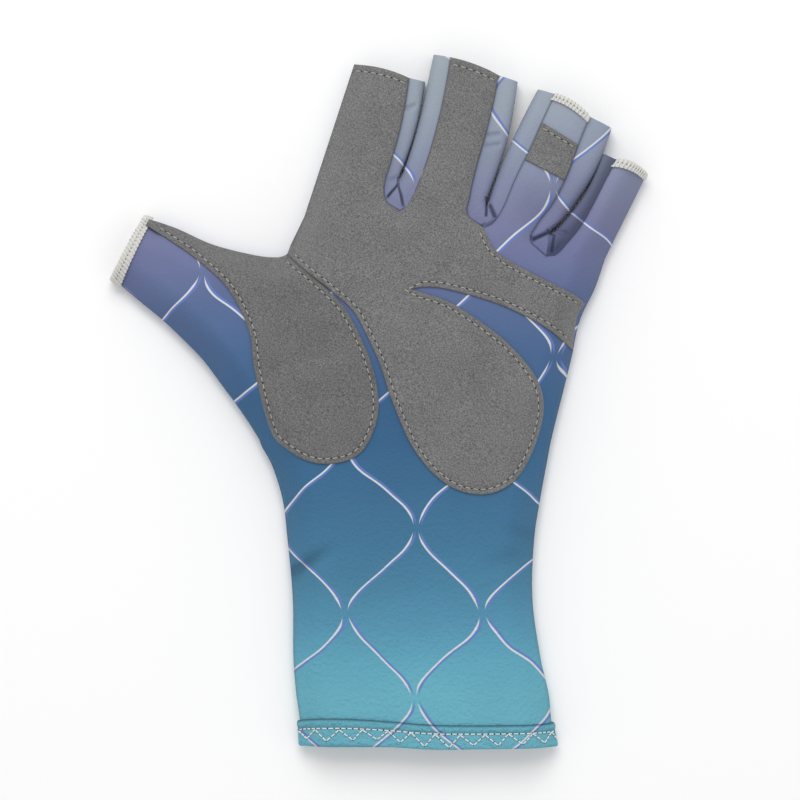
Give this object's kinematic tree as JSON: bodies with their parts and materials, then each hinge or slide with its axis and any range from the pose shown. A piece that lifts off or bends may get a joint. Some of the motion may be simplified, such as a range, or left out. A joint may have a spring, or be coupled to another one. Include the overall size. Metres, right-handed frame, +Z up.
{
  "type": "fingerless fishing sun glove",
  "caption": "Fingerless stretch sun glove for fishing, left hand, palm up, with grey suede palm and thumb patches, finger gussets and a folded wrist hem.",
  "frame": {"origin": "on the resting plane under the middle of the palm", "axes": "+X towards the little finger, +Y towards the fingertips, +Z up, out of the palm"},
  "size_m": [0.1824, 0.236, 0.0187],
  "materials": {
    "printed_cloth": "blue printed polyester and elastane knit, fading from slate violet at the fingers to turquoise at the wrist",
    "fourchette_cloth": "the same knit in pale blue grey",
    "suede": "grey synthetic suede",
    "white_thread": "white overlocked thread",
    "hem_cloth": "folded turquoise knit"
  },
  "bodies": {
    "root": {"palm_panel": "printed_cloth", "back_panel": "printed_cloth", "fourchette_index_middle": "fourchette_cloth", "fourchette_middle_ring": "fourchette_cloth", "fourchette_ring_little": "fourchette_cloth", "palm_patch": "suede", "thumb_patch": "suede", "ring_patch": "suede", "ring_edging": "white_thread", "little_edging": "white_thread", "thumb_edging": "white_thread", "cuff_hem": "hem_cloth"}
  },
  "joints": []
}
